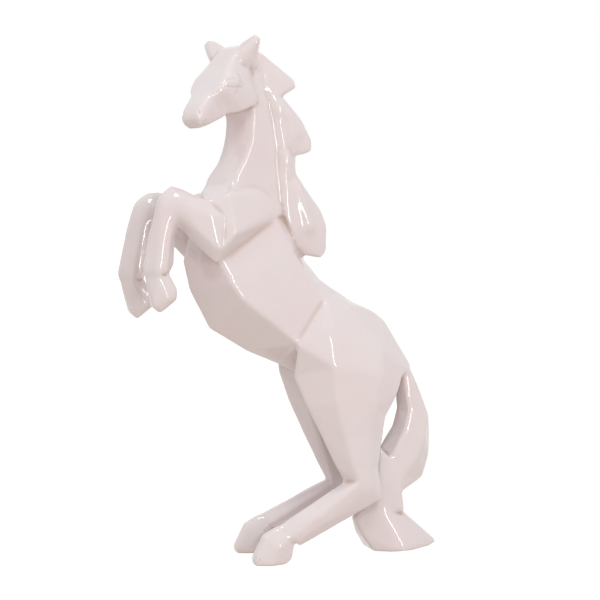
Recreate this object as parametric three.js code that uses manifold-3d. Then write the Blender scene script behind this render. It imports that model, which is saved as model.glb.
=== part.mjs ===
// Rearing horse ornament in glazed earthenware, built as the hollow castings that a pottery lutes together.
// Units are millimetres. +Z is up, the horse faces -X and its left side is -Y.
// A side view point is written as x, z and, off the middle plane, its distance from that plane.
import * as THREE from "three";
import { ConvexGeometry } from "three/addons/geometries/ConvexGeometry.js";
import { mergeVertices } from "three/addons/utils/BufferGeometryUtils.js";
import Module from "manifold-3d";

const wasm = await Module();
wasm.setup();

// Ware
const WALL = 4; // clay left in the mould when the slip is poured out
const SLIP_GAP = 0.3; // line of slip between two luted castings
const AIR_HOLE_RADIUS = 3.5; // passage cut through the wall inside each lute before the pieces are joined
const VENT_RADIUS = 2.5; // hole in the tail's sole that lets the firing gases out

// Landmarks of the side view: heights above the ground, and reaches from the plumb line through x = 0
const HOCK_HEIGHT = 57;
const HIP_HEIGHT = 177;
const WITHERS_HEIGHT = 258;
const POLL_HEIGHT = 385;
const KNEE_REACH = 108; // ahead of the plumb line
const DOCK_REACH = 80; // behind it
const TAIL_REACH = 112;

// The same landmarks in the drawing that the points below are read from
const DRAWN_HEIGHTS = [0, 57, 177, 258, 385];
const DRAWN_REACHES = [-108, 0, 80, 112];

// Half widths of the trunk and neck
const BARREL_HALF = 28.5; // where the girth line meets the lower edge of the flank
const HIP_HALF = 29.5;
const CROUP_HALF = 24.5;
const DOCK_HALF = 14;
const BACK_HALF = 15; // edge of the flat back over the hips
const NECK_BASE_HALF = 20;
const THROAT_HALF = 13; // front ridge of the neck where it is narrowest
const CREST_HALF = 8.5; // rear ridge of the neck halfway up

// Lean of the flat faces of the trunk, in half width lost per millimetre of x and of z
const GIRTH = { x: -54, z: 213 }; // foot of the ridge that crosses the flank behind the shoulder
const FLANK_LEAN = { x: 0.196, z: 0.127 };
const SHOULDER_LEAN = { x: 0.142, z: 0.243 };

// Legs
const HOOF_SPREAD = 22; // from the middle plane to the middle of a hoof
const HOOF_HALF = 9; // half the width of a hoof at its widest
const CANNON_HALF = 7.5; // half the thickness of a lower leg across the horse
const SHOULDER_OUT = 36;
const THIGH_OUT = 36;
const THIGH_STEP = 0.6; // how far the thigh stands proud of the trunk at the hip line
const OFF_KNEE_SHIFT = [-6, -7]; // the right knee is carried further forward and lower than the left one
const OFF_FETLOCK_SHIFT = [-7, -7.5];
const OFF_HOOF_SHIFT = [-5, -8.5];
const OFF_ELBOW_DROP = 8; // the right elbow hangs lower, and its shoulder half as much
const OFF_HOCK_DROP = 5.5; // the right hock is bent closer to the ground

// Head
const HEAD_LENGTH = 75; // from the poll to the upper lip
const DRAWN_HEAD_LENGTH = 75;
const HEAD_YAW = 37; // turned to the horse's left
const HEAD_PITCH = 39; // face line below the horizontal
const HEAD_ROLL = 6; // left ear raised
const POLL_AHEAD = 55; // of the plumb line
const POLL_ASIDE = 4; // swings to the left with the turn of the head
const BROW_HALF = 15.5;
const CHEEK_HALF = 15;
const MUZZLE_HALF = 8.2;
const EYE_PLACE = 31; // from the poll along the face
const EYE_LENGTH = 16;
const EYE_HEIGHT = 9;
const EYE_BULGE = 2.2;
const EAR_REACH = 24; // from the middle of the poll out to the tip of the left ear
const DRAWN_EAR_REACH = 24;
const OFF_EAR_SPLAY = 1.16; // the right ear leans further out than the left one

// Mane and tail
const LOCK_EDGE = 2.5; // half the thickness of a lock at its rim
const MANE_ROOT_HALF = 12.5; // where the last lock leaves the withers
const TAIL_HALF = 12.5; // half width of the strand that stands on the ground
const TAIL_CLEARANCE = 1.5; // room between the strand and the hocks on both sides of it
const TAIL_FOOT_HALF = 23;
const VENT_X = 70;
const VENT_DEPTH = 48; // through the solid foot into the hollow strand

// Mesh work
const MERGE = 1e-3; // corners closer than this are one
const SAME_FACET = 0.999; // cosine above which two triangles belong to one facet

const deg = THREE.MathUtils.degToRad;
const vector = (...xyz) => new THREE.Vector3(...xyz);

/** Carries a drawn coordinate to its place between the landmarks as they are set. */
function carried(value, drawn, set) {
  const next = drawn.findIndex((mark) => mark > value);
  const i = next < 0 ? drawn.length - 2 : Math.max(next - 1, 0);
  const share = (value - drawn[i]) / (drawn[i + 1] - drawn[i]);
  return set[i] + share * (set[i + 1] - set[i]);
}

/** Point of the figure from its drawn side view and its real distance from the middle plane. */
function spot(x, y, z) {
  const reaches = [-KNEE_REACH, 0, DOCK_REACH, TAIL_REACH];
  const heights = [0, HOCK_HEIGHT, HIP_HEIGHT, WITHERS_HEIGHT, POLL_HEIGHT];
  return vector(carried(x, DRAWN_REACHES, reaches), y, carried(z, DRAWN_HEIGHTS, heights));
}

/** Closed BufferGeometry with shared corners and nothing but positions. */
function bare(geometry) {
  const copy = new THREE.BufferGeometry();
  copy.setAttribute("position", geometry.getAttribute("position").clone());
  if (geometry.index) copy.setIndex(geometry.index.clone());
  return mergeVertices(copy, MERGE);
}

/** Turns a closed BufferGeometry into a solid that can be joined and cut. */
function solid(geometry) {
  const merged = bare(geometry);
  return new wasm.Manifold(
    new wasm.Mesh({
      numProp: 3,
      vertProperties: new Float32Array(merged.attributes.position.array),
      triVerts: new Uint32Array(merged.index.array),
    }),
  );
}

/** Joins solids into one. */
function union(solids) {
  return solids.reduce((sum, next) => sum.add(next));
}

/** Cuts every tool out of a solid. */
function cut(body, tools) {
  return tools.reduce((rest, tool) => rest.subtract(tool), body);
}

/** Turns a solid back into a flat shaded BufferGeometry. */
function geometryOf(body) {
  const mesh = body.getMesh();
  const stride = mesh.numProp;
  const places = new Float32Array(mesh.numVert * 3);
  for (let i = 0; i < mesh.numVert; i++) {
    places.set(mesh.vertProperties.subarray(i * stride, i * stride + 3), i * 3);
  }
  const geometry = new THREE.BufferGeometry();
  geometry.setAttribute("position", new THREE.BufferAttribute(places, 3));
  geometry.setIndex(new THREE.BufferAttribute(new Uint32Array(mesh.triVerts), 1));
  const flat = geometry.toNonIndexed();
  flat.computeVertexNormals();
  return flat;
}

/** Closed skin over rings of equal count, with its facets folded outwards. */
function loft(rings) {
  const skin = skinOver(rings);
  return volumeOf(skin) > 0 ? skin : skinOver(rings.map((ring) => ring.toReversed()));
}

/** Skin whose four sided stretches are split along the diagonal that stands out. Its ends are capped. */
function skinOver(rings) {
  const count = rings[0].length;
  const points = rings.flat();
  const faces = [];
  for (let i = 0; i + 1 < rings.length; i++) {
    for (let j = 0; j < count; j++) {
      const k = (j + 1) % count;
      const [a, b] = [i * count + j, i * count + k];
      const [d, c] = [a + count, b + count];
      const normal = new THREE.Triangle(points[a], points[b], points[c]).getNormal(vector());
      const rise = normal.dot(vector().subVectors(points[d], points[a]));
      if (rise < 0) faces.push([a, b, c], [a, c, d]);
      else faces.push([a, b, d], [b, c, d]);
    }
  }
  for (const [ring, start, turn] of [
    [rings[0], 0, true],
    [rings.at(-1), (rings.length - 1) * count, false],
  ]) {
    const middle = points.length;
    points.push(ring.reduce((sum, p) => sum.add(p), vector()).divideScalar(count));
    for (let j = 0; j < count; j++) {
      const [p, q] = [start + j, start + ((j + 1) % count)];
      faces.push(turn ? [middle, q, p] : [middle, p, q]);
    }
  }
  const geometry = new THREE.BufferGeometry().setFromPoints(points);
  geometry.setIndex(faces.flat());
  return geometry;
}

/** Volume that a closed geometry encloses, negative where its faces point inwards. */
function volumeOf(geometry) {
  const places = geometry.getAttribute("position");
  const corner = (i) => vector().fromBufferAttribute(places, i);
  const index = geometry.index.array;
  let volume = 0;
  for (let i = 0; i < index.length; i += 3) {
    volume += corner(index[i]).dot(corner(index[i + 1]).cross(corner(index[i + 2]))) / 6;
  }
  return volume;
}

/** Moves every facet of a closed geometry outwards by a distance, or inwards where it is negative. */
function offset(geometry, distance) {
  const merged = bare(geometry);
  const places = merged.getAttribute("position");
  const index = merged.index.array;
  const normals = Array.from({ length: places.count }, () => []);
  const corner = (i) => vector().fromBufferAttribute(places, i);
  for (let i = 0; i < index.length; i += 3) {
    const [a, b, c] = [corner(index[i]), corner(index[i + 1]), corner(index[i + 2])];
    const normal = b.sub(a).cross(c.sub(a)).normalize();
    for (const v of index.subarray(i, i + 3)) {
      if (normals[v].every((n) => n.dot(normal) < SAME_FACET)) normals[v].push(normal);
    }
  }
  for (let i = 0; i < places.count; i++) {
    const step = commonStep(normals[i]).multiplyScalar(distance);
    places.setXYZ(i, places.getX(i) + step.x, places.getY(i) + step.y, places.getZ(i) + step.z);
  }
  return merged;
}

/** The step that moves a corner one unit clear of all the facets that meet there. */
function commonStep(normals) {
  const soft = 0.02; // keeps the answer short where facets are nearly parallel
  const longest = 2; // and where they meet in a sharp point
  const m = new THREE.Matrix3().set(soft, 0, 0, 0, soft, 0, 0, 0, soft);
  const sum = vector();
  for (const n of normals) {
    const [x, y, z] = n.toArray();
    [x * x, x * y, x * z, x * y, y * y, y * z, x * z, y * z, z * z].forEach((v, k) => {
      m.elements[k] += v;
    });
    sum.add(n);
  }
  return sum.multiplyScalar(1 + soft / normals.length).applyMatrix3(m.invert()).clampLength(0, longest);
}

/** The hollow that pouring out the slip leaves inside a skin. */
function hollow(skin) {
  return solid(offset(skin, -WALL));
}

/** The space that a luted casting and the slip on it take up. */
function room(skin) {
  return solid(offset(skin, SLIP_GAP));
}

/** Round passage of a given radius between two points. */
function passage(from, to, radius) {
  const [start, end] = [spot(...from), spot(...to)];
  const run = vector().subVectors(end, start);
  const bore = new THREE.CylinderGeometry(radius, radius, run.length(), 16);
  bore.applyQuaternion(new THREE.Quaternion().setFromUnitVectors(vector(0, 1, 0), run.clone().normalize()));
  bore.translate(...start.add(end).divideScalar(2).toArray());
  return solid(bore);
}

/** Ring of a piece that is alike on both sides, from points x, z, half width given front to back. */
function evenRing(points) {
  const left = points.map(([x, z, half = 0]) => spot(x, -half, z));
  const right = points
    .filter(([, , half = 0]) => half > 0)
    .reverse()
    .map(([x, z, half]) => spot(x, half, z));
  return [...left, ...right];
}

/** Ring of a limb on one side: side is -1 for the horse's left and 1 for its right. */
function sideRing(points, side, [dx, dz] = [0, 0]) {
  return points.map(([x, z, out]) => spot(x + dx, side * out, z + dz));
}

/** Convex block that is alike on both sides, from points x, z, half width. */
function evenBlock(points) {
  return new ConvexGeometry([...sideRing(points, 1), ...sideRing(points, -1)]);
}

/** A point and its twin on the other side of a limb's own middle. */
function pair(x, z, middle, half) {
  return [
    [x, z, middle + half],
    [x, z, middle - half],
  ];
}

// Trunk

/** Point of the flat face that leans in by `lean` from the foot of the girth line. */
function onFace(lean, x, z) {
  return [x, z, BARREL_HALF - lean.x * (x - GIRTH.x) - lean.z * (z - GIRTH.z)];
}
const onFlank = (x, z) => onFace(FLANK_LEAN, x, z);
const onShoulder = (x, z) => onFace(SHOULDER_LEAN, x, z);

/** Stations of the trunk from the neck to the dock. Each runs from the keel up the side to the back. */
function trunkStations() {
  return [
    [[-81, 277], [-70, 274.5, 15], [-46, 268.5, NECK_BASE_HALF], onShoulder(-24, 262.5), [-10, 259]],
    [[-92, 228], onShoulder(-70, 227), onShoulder(-46, 245), onShoulder(-23.5, 257), [-7, 256]],
    [[-87, 206], onFlank(-63, 212), onFlank(GIRTH.x, GIRTH.z), onFlank(-12.5, 233.5), [2, 228]],
    [[-72, 177], onFlank(-55, 201), onFlank(-30, 205), onFlank(2, 212.5), [16, 211]],
    [[-43, 159], onFlank(-33, 184), onFlank(-14, 196), onFlank(9, 203.5), [22, 206.9]],
    [[-19, 148.5], onFlank(-12, 167), onFlank(1, 184), onFlank(14, 199.5), [31, 201]],
    [[-14, 146.2], onFlank(-11, 165.5), [13, 179, HIP_HALF], [32, 193.5, BACK_HALF], [42.5, 192.9]],
    [[15, 130], [15, 150, 24], [38, 157, CROUP_HALF + 2], [58, 159, CROUP_HALF], [61, 184.6]],
    [[45, 120], [50, 133, 18], [62, 143, 19], [64, 154, 20], [69, 178.3]],
    [[74, 124], [76, 128, 8], [79, 133, 12], [81, 139, DOCK_HALF], [92, 141]],
  ];
}

/** Stations of the neck from the withers to the poll: throat, front ridge, rear ridge, crest. */
function neckStations() {
  return [
    [[-82, 272], [-60, 274, NECK_BASE_HALF], [-20, 262, CREST_HALF + 3.5], [-8, 258]],
    [[-73.2, 288], [-58, 289, NECK_BASE_HALF - 2], [-20, 273, CREST_HALF + 2], [-8, 270]],
    [[-65.5, 302.5], [-46, 309, THROAT_HALF + 2.5], [-20, 295, CREST_HALF + 0.5], [-9, 292]],
    [[-61.5, 317], [-43, 316, THROAT_HALF + 1.5], [-20, 310, CREST_HALF], [-11, 308]],
    [[-60, 334], [-41, 343, THROAT_HALF], [-25, 339, CREST_HALF - 0.5], [-16, 337]],
    [[-58, 348], [-40, 357, THROAT_HALF - 1], [-32, 361, CREST_HALF - 1], [-24, 360]],
    [[-56, 366], [-47, 373, THROAT_HALF - 4], [-36, 376, CREST_HALF - 1.5], [-32, 377]],
  ];
}

// Head, in its own frame: x along the face from the poll, y to its left and z out of the face.
const HEAD_STRETCH = HEAD_LENGTH / DRAWN_HEAD_LENGTH;
const EAR_STRETCH = EAR_REACH / DRAWN_EAR_REACH;

/** Stations of the head. `high` is measured from the face line at the edges of face, side and jaw. */
function headStations() {
  return [
    { along: -5, face: [6.5, -2], side: [7, -9], jaw: [4, -14] },
    { along: 3, face: [8.5, 1.5], side: [10, -8], jaw: [6, -20] },
    { along: 14, face: [10.5, 1], side: [CHEEK_HALF - 1.5, -12], jaw: [CHEEK_HALF - 2, -34] },
    { along: 21, face: [11.5, 0.5], side: [CHEEK_HALF - 0.5, -13], jaw: [CHEEK_HALF, -37.5] },
    { along: 33, face: [BROW_HALF, -0.5], side: [CHEEK_HALF, -13], jaw: [CHEEK_HALF - 2, -33.5] },
    { along: 41, face: [BROW_HALF, -1.5], side: [BROW_HALF, -12], jaw: [11, -29] },
    { along: 47, face: [13.5, -2], side: [11.5, -11], jaw: [9, -24.5] },
    { along: 52, face: [MUZZLE_HALF + 1, -2], side: [MUZZLE_HALF + 1, -10], jaw: [7.5, -24] },
    { along: 64, face: [MUZZLE_HALF, -2.5], side: [MUZZLE_HALF + 0.5, -9], jaw: [5.5, -19.8] },
    { along: 71, face: [MUZZLE_HALF, -4], side: [MUZZLE_HALF + 1, -9], jaw: [4.5, -16.8] },
    { along: 75, face: [MUZZLE_HALF - 1.5, -7], side: [MUZZLE_HALF - 0.5, -11], jaw: [4.5, -14.5] },
  ];
}

/** Head ring from one station. */
function headRing({ along, face, side, jaw }) {
  const half = [face, side, jaw];
  const reach = along * HEAD_STRETCH;
  return [
    ...half.map(([wide, high]) => vector(reach, wide, high)),
    ...half.toReversed().map(([wide, high]) => vector(reach, -wide, high)),
  ];
}

/** One ear: a blade that splays outwards from the corner of the poll. Side is 1 for the left ear. */
function ear(side, splay) {
  const root = [4, 5, -6];
  const blade = [
    [0.5, 12.7, -20],
    [-2, 8, 1],
    [10, 11.5, 0],
    [12, 13, -5],
    [6, 18, -6],
    [0, 16.5, -12],
    [-6, 9, -8],
    [-7.5, 16.5, 2.5],
    [-3, 21, -4],
    [-7, 21, 4.5],
    [-4, 24, 2.5],
    [-7, 23, 0],
  ];
  const corners = [root, ...blade.map(([along, wide, out]) => [along, wide * splay * EAR_STRETCH, out])];
  return new ConvexGeometry(corners.map(([along, wide, out]) => vector(along, side * wide, out)));
}

/** One closed eyelid, an almond that stands proud of the side of the head. */
function eyelid(side) {
  const lens = new THREE.SphereGeometry(1, 10, 6);
  lens.scale(EYE_LENGTH / 2, EYE_BULGE, EYE_HEIGHT / 2);
  lens.translate(EYE_PLACE * HEAD_STRETCH, side * (CHEEK_HALF - 0.5), -EYE_HEIGHT);
  return lens;
}

/** Matrix that carries the head's own frame into place. */
function headPlace() {
  const [yaw, pitch] = [deg(HEAD_YAW), deg(HEAD_PITCH)];
  const level = vector(-Math.cos(yaw), -Math.sin(yaw), 0);
  const along = level.multiplyScalar(Math.cos(pitch)).setZ(-Math.sin(pitch));
  const left = vector(Math.sin(yaw), -Math.cos(yaw), 0).applyAxisAngle(along, deg(HEAD_ROLL));
  const out = vector().crossVectors(along, left);
  const poll = spot(-POLL_AHEAD, -POLL_ASIDE, DRAWN_HEIGHTS.at(-1));
  return new THREE.Matrix4().makeBasis(along, left, out).setPosition(poll);
}

// Legs

/** Shoulder plate that the foreleg hangs from. */
function shoulderPlate(side, drop) {
  const corners = [
    [-77, 282 - drop, 3],
    [-61.5, 286 - drop, 16],
    [-37, 279, 15.5],
    [-23, 267, 13],
    [-23, 261, 13.5],
    [-65.5, 279 - drop, SHOULDER_OUT - 7],
    [-62.5, 250, SHOULDER_OUT],
    [-73, 238, SHOULDER_OUT - 3],
    [-74, 228.5, 27],
    [-84, 273, 24],
    [-60, 270, 8],
    [-60, 237, 10],
  ];
  return new ConvexGeometry(sideRing(corners, side));
}

/**
 * Rings of a foreleg from the elbow to the coronet. Each runs from the front edge over the outer face to the
 * rear edge and back along the inner face.
 */
function forelegRings(side, { knee, fetlock, elbowDrop }) {
  const mid = HOOF_SPREAD;
  const out = mid + CANNON_HALF + 1;
  const rear = mid + CANNON_HALF;
  const inner = mid - CANNON_HALF;
  const elbow = [
    [[-64, 270, 22], [-60, 262, 28], [-58, 248, 30], [-62, 240, 24], [-58, 246, 10], [-62, 264, 10]],
    [[-86, 277, 25], [-80, 264, 34], [-75, 239, 34.5], [-75.5, 228, 28], [-74, 238, 14], [-80, 266, 14]],
  ];
  const forearm = [
    [-98, 284, 24],
    [-95.5, 271.5, 32.5],
    [-92, 255, 33],
    [-91, 243, 25],
    [-92, 252, 15],
    [-96, 270, 15],
  ];
  const shin = (front, outer, back, rearEdge, backIn, frontIn) => [
    [...front, mid],
    [...outer, out],
    [...back, rear],
    [...rearEdge, mid],
    [...backIn, inner],
    [...frontIn, inner],
  ];
  const cannon = [
    shin([-108, 287.5], [-106, 276], [-104, 266], [-102, 256], [-104, 264], [-106, 276]),
    shin([-119, 279], [-113, 272], [-108, 262], [-103, 253], [-107, 262], [-113, 272]),
    shin([-124.8, 251], [-117, 250], [-111, 248], [-105, 243], [-111, 246], [-117, 248]),
  ];
  const pastern = [
    shin([-129.3, 227], [-120, 228], [-113, 228.5], [-105.5, 228.5], [-112, 229], [-120, 228]),
    shin([-128.8, 222], [-120, 222], [-114, 222.5], [-108, 223.5], [-115, 223], [-120, 222]),
  ];
  return [
    sideRing(elbow[0], side),
    sideRing(elbow[1], side, [0, -elbowDrop]),
    sideRing(forearm, side, knee.map((step) => step / 2)),
    ...cannon.map((ring) => sideRing(ring, side, knee)),
    ...pastern.map((ring) => sideRing(ring, side, fetlock)),
  ];
}

/** Front hoof, which hangs from the coronet. */
function frontHoof(side, { fetlock, hoof }) {
  const mid = HOOF_SPREAD;
  const coronet = [
    [-128, 223, mid],
    ...pair(-120, 222, mid, HOOF_HALF - 2),
    ...pair(-111, 223, mid, 2),
    [-118, 228, mid],
  ];
  const sole = [
    ...pair(-104.5, 210, mid, HOOF_HALF - 4),
    ...pair(-104.5, 202.5, mid, HOOF_HALF - 5),
    ...pair(-117, 193, mid, HOOF_HALF - 5),
    ...pair(-122.5, 198, mid, HOOF_HALF - 4),
    ...pair(-112, 204, mid, HOOF_HALF - 0.5),
  ];
  return new ConvexGeometry([...sideRing(coronet, side, fetlock), ...sideRing(sole, side, hoof)]);
}

/** Foreleg with its shoulder plate, in a pose. */
function foreleg(side, pose) {
  const plate = shoulderPlate(side, pose.elbowDrop / 2);
  const limb = loft(forelegRings(side, pose));
  return union([plate, limb, frontHoof(side, pose)].map(solid));
}

/** Rings of a hind leg from the hip to the hock, wide at the side ridge and narrow at its edges. */
function thighRings(side, drop) {
  const [hip, croup, dock] = [HIP_HALF, CROUP_HALF, DOCK_HALF].map((half) => half + THIGH_STEP);
  const out = THIGH_OUT;
  const rings = [
    [[5, 168, 16], [15, 178, 22], [50, 161, 14], [68, 147, 7], [56, 146, 4], [14, 160, 4]],
    [[-11.5, 165.5, 26.8], [13, 179, hip], [58, 159, croup], [80, 139, dock], [62, 134, 5], [6, 148, 5]],
    [[-11.6, 141, 17.5], [14, 150, out], [55, 140, out - 5], [71.5, 123, 21], [58, 122, 6], [2, 138, 5]],
    [[-2.4, 118, 21.5], [17, 123, out - 1.5], [50, 116, out - 5], [61.3, 106, 22], [50, 106, 9], [8, 114, 6]],
    [[9.6, 94, 22], [24.5, 96, out - 3.5], [46, 92, out - 7], [58.2, 85, 22], [48, 85, 12], [18, 91, 10]],
    [[21.5, 70, 21], [33, 70, out - 5.5], [47, 70, out - 8], [56.3, 67, 21], [49, 67, 14], [28, 69, 13]],
  ];
  const bend = [0, 0, 0, 0, 1 / 3, 1 / 2];
  return rings.map((ring, i) => sideRing(ring, side, [0, -drop * bend[i]]));
}

/** Rings of the cannon from the hock to the fetlock. */
function cannonRings(side, drop) {
  const mid = HOOF_SPREAD;
  const out = mid + CANNON_HALF;
  const inner = mid - CANNON_HALF;
  const rear = out - 1.5;
  const hock = Math.max(inner, TAIL_HALF + TAIL_CLEARANCE);
  const fetlock = [
    [-26.4, 27.7, mid],
    [-19, 20.5, rear],
    [-13, 16, rear],
    [-8, 11.5, mid],
    [-13, 16, inner],
    [-19, 22, inner],
  ];
  const rings = [
    [[28.7, 57.7, mid - 3], [37.4, 59, out], [48, 54, rear], [59.2, 43, mid], [50, 48, hock], [33, 56, hock]],
    [[3, 44, mid - 1], [7, 37, out], [12, 30, rear], [16, 22.7, mid], [12, 30, inner], [6, 39, inner]],
    fetlock,
  ];
  const bend = [1, 1 / 2, 0];
  return rings.map((ring, i) => sideRing(ring, side, [0, -drop * bend[i]]));
}

/** Hind hoof, flat on the ground. */
function hindHoof(side) {
  const mid = HOOF_SPREAD;
  const corners = [
    ...pair(-26.4, 27.7, mid, 2),
    ...pair(-37, 22, mid, HOOF_HALF - 6),
    ...pair(-45.5, 5, mid, HOOF_HALF - 5),
    ...pair(-44.5, 0, mid, HOOF_HALF - 5),
    ...pair(-33, 0, mid, HOOF_HALF - 0.5),
    ...pair(-21, 0, mid, HOOF_HALF - 3),
    ...pair(-16, 3, mid, HOOF_HALF - 5),
    ...pair(-13.6, 14.4, mid, HOOF_HALF - 6),
    ...pair(-19, 20.5, mid, HOOF_HALF - 3),
    ...pair(-27, 14, mid, HOOF_HALF),
    [-14, 24, mid],
  ];
  return new ConvexGeometry(sideRing(corners, side));
}

/** Skin of a hind leg from the hip to the fetlock. */
function hindLimb(side, drop) {
  return loft([...thighRings(side, drop), ...cannonRings(side, drop)]);
}

// Mane and tail

/** Mane: three locks and the strip along the crest that the last of them grows from. */
function mane() {
  const [edge, strip, root] = [LOCK_EDGE, CREST_HALF + 2, MANE_ROOT_HALF];
  const forelock = [
    [-36, 380, 5],
    [-33, 382.5, 3],
    [-34, 360, CREST_HALF],
    [-27, 350, CREST_HALF + 0.5],
    [-23, 348.5, strip - 1],
    [-16.5, 349, 4],
    [-5.6, 361.4, edge],
    [-4, 355.8, edge],
  ];
  const middleLock = [
    [-28, 352, CREST_HALF + 0.5],
    [-23, 351, strip - 1],
    [-17, 317, strip],
    [-21, 310, strip - 1],
    [-16, 350.4, 3.5],
    [0.2, 331.5, edge + 0.5],
    [8.2, 316.7, edge],
    [8.2, 308.7, edge],
    [2.4, 306.5, edge + 0.5],
    [-3, 305.8, 5],
  ];
  const crestStrip = [
    [-21, 318, strip - 1.5],
    [-16.5, 317, strip],
    [-20.6, 272, root - 1.5],
    [-15.5, 272, root],
    [-5, 303.5, 4],
    [-7.4, 296, 4.5],
    [-6, 291, 5],
  ];
  const lastLock = [
    [-20.6, 285, root - 2],
    [-15.5, 285, root - 0.5],
    [-8.2, 295, 4.5],
    [-2.2, 285.4, 5.5],
    [15.8, 263.5, edge + 0.5],
    [20.4, 251.5, edge + 0.5],
    [20.4, 233, edge],
    [16.3, 227.7, edge],
    [2.4, 230.6, 4],
    [-4.4, 238, 8],
    [-10.7, 250, root - 0.5],
    [-15.5, 260, root],
    [-2.5, 279.6, 8],
    [7, 251, 8.5],
  ];
  return union([forelock, middleLock, crestStrip, lastLock].map((lock) => solid(evenBlock(lock))));
}

/** The arched lock from the dock. Each ring runs from the side towards the legs over the widest part. */
function tailArch() {
  const wide = TAIL_HALF - 1;
  return loft(
    [
      [[80, 142], [82, 141, 8], [87.5, 140, 8], [89.5, 139]],
      [[79.3, 118], [84, 120, 9.5], [95, 121, 9], [99.2, 121.5]],
      [[80.3, 109], [86, 108, 10], [101, 104, 10], [106.5, 103]],
      [[76.8, 95.7], [82, 93, wide], [98, 86, wide], [107.6, 88]],
      [[66.8, 80.6], [74, 78, wide], [93, 73, wide], [107, 70]],
      [[60, 68], [66, 66, wide], [81, 57, wide], [102, 54]],
      [[60, 56], [66, 54, wide - 1], [80, 46, wide - 1], [87, 45]],
    ].map(evenRing),
  );
}

/** The strand that the arch folds into, which drops to the ground. */
function tailStrand() {
  const wide = TAIL_HALF;
  return loft(
    [
      [[58, 79], [61.5, 81.5, wide - 0.5], [77.5, 62.5, wide - 0.5], [82, 60]],
      [[55.5, 60], [60, 60, wide], [78.5, 48, wide], [84, 46]],
      [[52, 32], [60, 35, wide], [81, 29, wide], [84.5, 27]],
    ].map(evenRing),
  );
}

/** The foot that the strand spreads into. */
function tailFoot() {
  return evenBlock([
    [43.8, 25, 4],
    [48.8, 12.4, 8],
    [57, 0, 11],
    [62.9, 36, TAIL_HALF],
    [58, 38, 5],
    [78, 0, TAIL_FOOT_HALF],
    [79.8, 7.7, TAIL_FOOT_HALF - 3],
    [84, 22, 10],
    [83.5, 28, 5],
    [100.5, 8, 8],
    [110.4, 4, 5],
    [112, 2, 4],
    [105, 0, 8],
  ]);
}

// Skins and their seats: each casting is trimmed to the ones that it is luted to, less the slip between them.
const trunkSkin = loft(trunkStations().map(evenRing));
const neckSkin = loft(neckStations().map(evenRing));
const place = headPlace();
const headSkin = loft(headStations().map(headRing)).applyMatrix4(place);
const ears = [ear(1, 1), ear(-1, OFF_EAR_SPLAY)].map((blade) => blade.applyMatrix4(place));
const eyelids = [eyelid(1), eyelid(-1)].map((lens) => lens.applyMatrix4(place));
const [trunkRoom, neckRoom, headRoom, ...earRooms] = [trunkSkin, neckSkin, headSkin, ...ears].map(room);

// Air passages through the walls, so that no hollow is sealed off from the vent.
const neckPassage = passage([-45, 0, 240], [-45, 0, 285], AIR_HOLE_RADIUS);
const headPassage = passage([-43, 0, 352], [-60, -8, 361], AIR_HOLE_RADIUS);
const dockPassage = passage([70, 0, 144], [88, 0, 124], AIR_HOLE_RADIUS);
const hipPassages = [-1, 1].map((side) =>
  passage([38, 0, 140], [38, side * (THIGH_OUT - 2 * WALL), 140], AIR_HOLE_RADIUS),
);
const vent = passage([VENT_X, 0, -WALL], [VENT_X, 0, VENT_DEPTH], VENT_RADIUS);

const glaze = new THREE.MeshStandardMaterial({ color: 0xe9dcda, roughness: 0.12, metalness: 0 });
const figure = new THREE.Group();

/** Adds a casting to the figure without the crumbs that a cut may leave beside it. */
function cast(name, body) {
  const [piece] = body.decompose().sort((a, b) => b.volume() - a.volume());
  const mesh = new THREE.Mesh(geometryOf(piece), glaze);
  mesh.name = name;
  figure.add(mesh);
}

cast("body", cut(solid(trunkSkin), [hollow(trunkSkin), neckPassage, dockPassage, ...hipPassages]));
const neckCuts = [trunkRoom, headRoom, ...earRooms, hollow(neckSkin), neckPassage, headPassage];
cast("neck", cut(solid(neckSkin), neckCuts));
cast("head", cut(union([headSkin, ...ears, ...eyelids].map(solid)), [hollow(headSkin), headPassage]));
cast("mane", cut(mane(), [neckRoom, trunkRoom, headRoom, ...earRooms]));

const level = { knee: [0, 0], fetlock: [0, 0], hoof: [0, 0], elbowDrop: 0 };
const reaching = {
  knee: OFF_KNEE_SHIFT,
  fetlock: OFF_FETLOCK_SHIFT,
  hoof: OFF_HOOF_SHIFT,
  elbowDrop: OFF_ELBOW_DROP,
};
cast("left_foreleg", cut(foreleg(-1, level), [trunkRoom, neckRoom]));
cast("right_foreleg", cut(foreleg(1, reaching), [trunkRoom, neckRoom]));

const legRooms = [];
for (const [name, side, drop] of [
  ["left_hind_leg", -1, 0],
  ["right_hind_leg", 1, OFF_HOCK_DROP],
]) {
  const skins = [hindLimb(side, drop), hindHoof(side)];
  cast(name, cut(union(skins.map(solid)), [trunkRoom, hollow(loft(thighRings(side, drop)))]));
  legRooms.push(...skins.map(room));
}

const [arch, strand] = [tailArch(), tailStrand()];
const tail = union([arch, strand, tailFoot()].map(solid));
cast("tail", cut(tail, [trunkRoom, ...legRooms, hollow(arch), hollow(strand), dockPassage, vent]));

// The origin is the middle of the figure's footprint on the ground.
const middle = new THREE.Box3().setFromObject(figure).getCenter(vector());
figure.position.set(-middle.x, -middle.y, 0);

export default figure;
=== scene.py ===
"""Looks of a rearing horse ornament in pale pink glazed earthenware, dressed round its castings.

The castings are luted together and glazed as one, so a single skin is drawn over all of them first. Its
ridges are rounded and its creases filled as a coat of glaze does it, and the eyes, nostrils and hooves are
worked into it. The skin is then parted where the castings meet, one closed piece for each.
"""

import logging
import math
from dataclasses import dataclass, field
from enum import Enum

import bpy
import numpy as np
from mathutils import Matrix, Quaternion, Vector
from mathutils.bvhtree import BVHTree

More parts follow.
